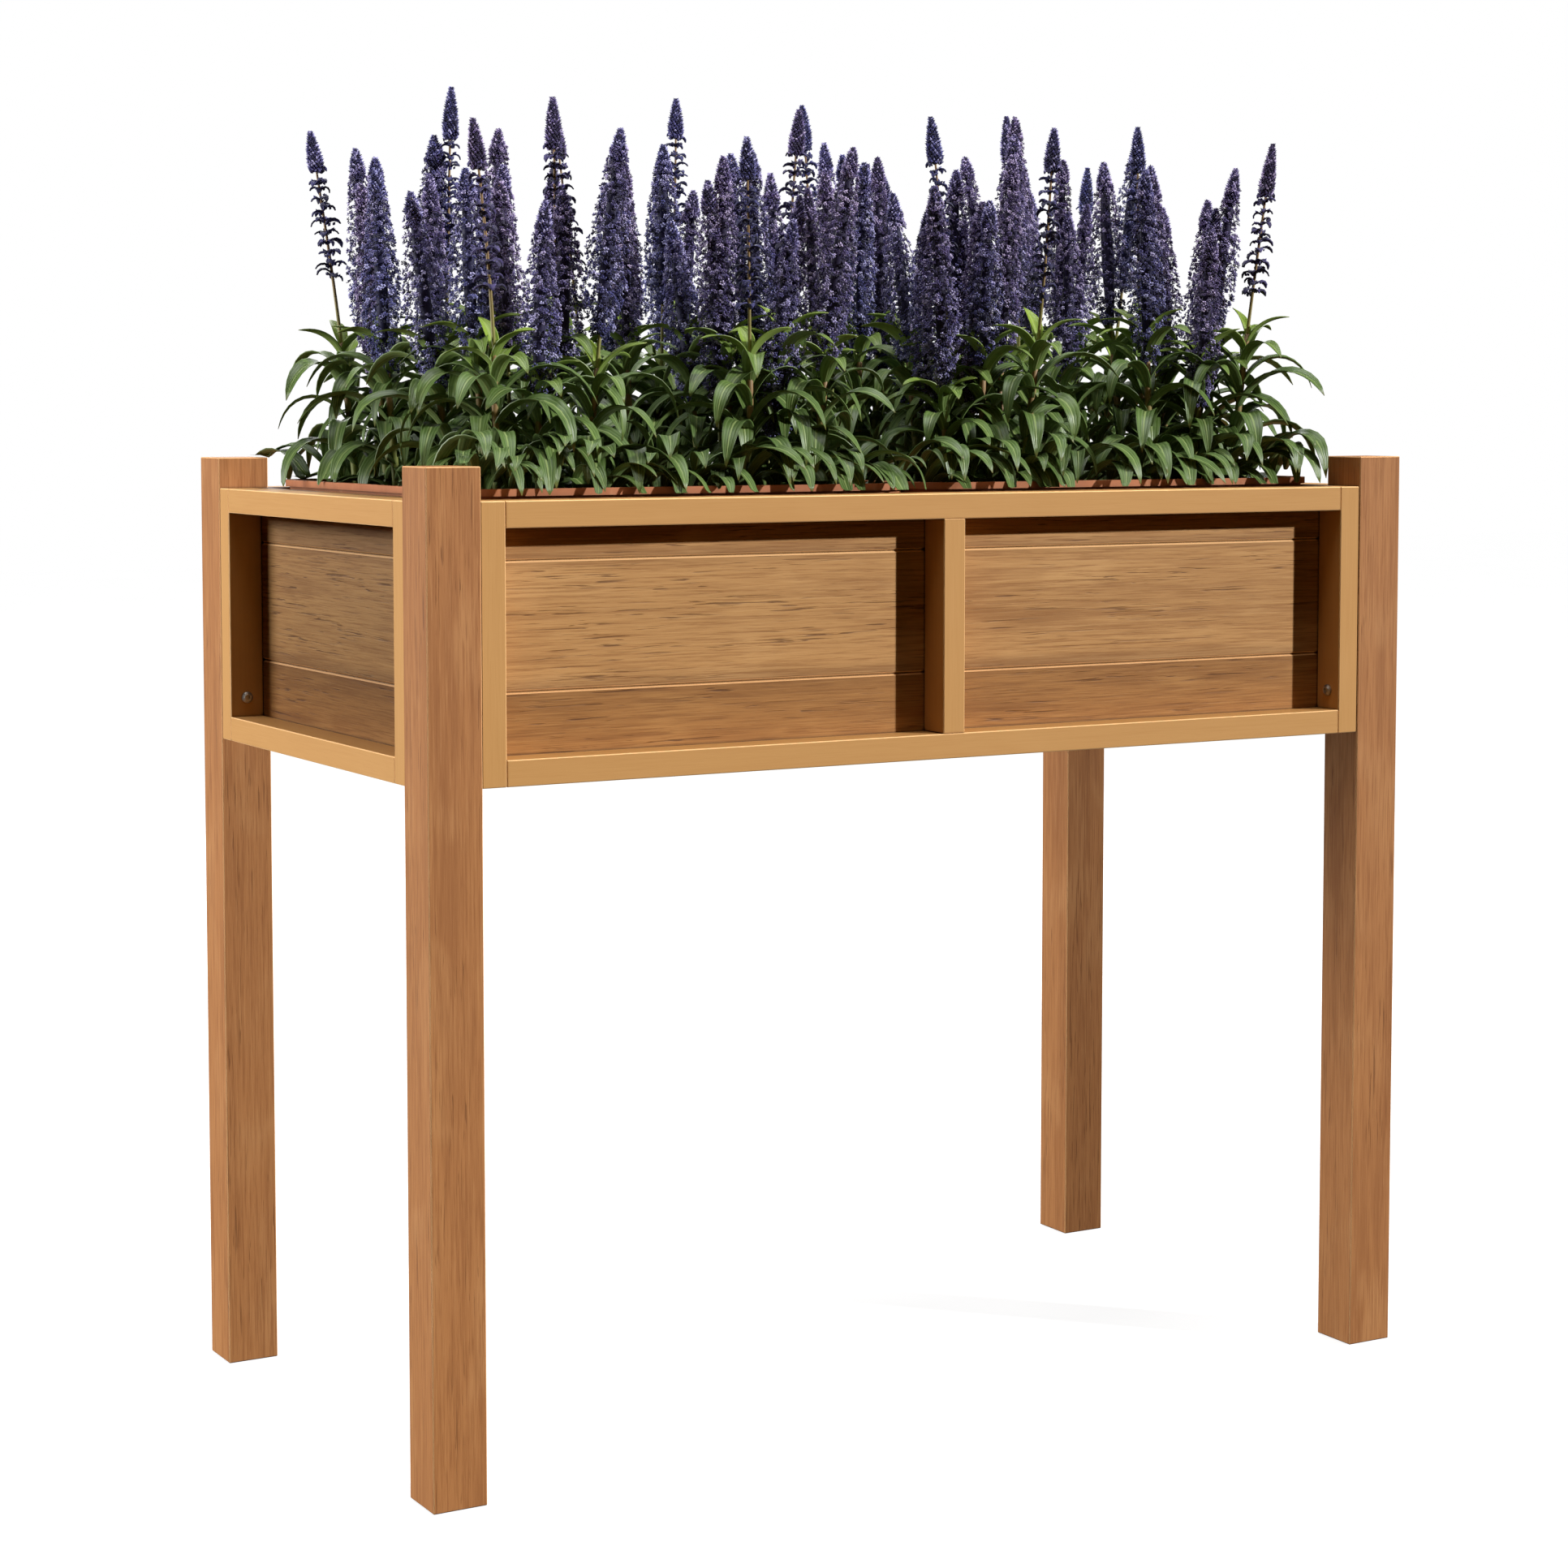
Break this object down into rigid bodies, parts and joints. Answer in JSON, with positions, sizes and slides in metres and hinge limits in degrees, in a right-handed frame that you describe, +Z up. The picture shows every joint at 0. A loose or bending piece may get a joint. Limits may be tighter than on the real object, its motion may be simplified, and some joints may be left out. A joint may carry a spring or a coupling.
{
  "type": "raised planter",
  "caption": "Raised wooden planter on four square legs, with panelled sides and lift-out troughs of flowering plants.",
  "frame": {"origin": "on the ground under the centre of the box, midway between the four posts", "axes": "+X to the right-hand end seen from the front, +Y from front to back, +Z up"},
  "size_m": [1, 0.524, 1.196],
  "materials": {
    "post_wood": "satin",
    "frame_wood": "satin",
    "board_wood": "satin",
    "dowel_wood": "matte",
    "fastener_steel": "satin",
    "insert_brass": "satin",
    "trough_plastic": "matte",
    "compost": "matte",
    "plant": "matte"
  },
  "bodies": {
    "root": {"post_front_left": "post_wood", "post_front_right": "post_wood", "post_back_left": "post_wood", "post_back_right": "post_wood", "front_top_rail": "frame_wood", "front_bottom_rail": "frame_wood", "front_left_stile": "frame_wood", "front_right_stile": "frame_wood", "front_muntin": "frame_wood", "back_top_rail": "frame_wood", "back_bottom_rail": "frame_wood", "back_left_stile": "frame_wood", "back_right_stile": "frame_wood", "back_muntin": "frame_wood", "left_top_rail": "frame_wood", "left_bottom_rail": "frame_wood", "left_front_stile": "frame_wood", "left_back_stile": "frame_wood", "right_top_rail": "frame_wood", "right_bottom_rail": "frame_wood", "right_front_stile": "frame_wood", "right_back_stile": "frame_wood", "front_board_low": "board_wood", "front_board_middle": "board_wood", "front_board_top": "board_wood", "back_board_low": "board_wood", "back_board_middle": "board_wood", "back_board_top": "board_wood", "left_board_low": "board_wood", "left_board_middle": "board_wood", "left_board_top": "board_wood", "right_board_low": "board_wood", "right_board_middle": "board_wood", "right_board_top": "board_wood", "front_ledger": "board_wood", "back_ledger": "board_wood", "floor_slat_1": "board_wood", "floor_slat_2": "board_wood", "floor_slat_3": "board_wood", "floor_slat_4": "board_wood", "floor_slat_5": "board_wood", "floor_slat_6": "board_wood", "frame_bolts": "fastener_steel", "bolt_inserts": "insert_brass", "frame_dowels": "dowel_wood", "board_screws": "fastener_steel", "ledger_screws": "fastener_steel", "slat_screws": "fastener_steel"},
    "left_planting": {"left_trough": "trough_plastic", "left_compost": "compost", "left_plant_front_outer": "plant", "left_plant_front_inner": "plant", "left_plant_back_outer": "plant", "left_plant_back_inner": "plant"},
    "right_planting": {"right_trough": "trough_plastic", "right_compost": "compost", "right_plant_front_outer": "plant", "right_plant_front_inner": "plant", "right_plant_back_outer": "plant", "right_plant_back_inner": "plant"}
  },
  "joints": [
    {"name": "left_lift", "type": "slide", "parent": "root", "child": "left_planting", "axis": [0, 0, 1], "range_m": [0, 0.25]},
    {"name": "right_lift", "type": "slide", "parent": "root", "child": "right_planting", "axis": [0, 0, 1], "range_m": [0, 0.25]}
  ]
}
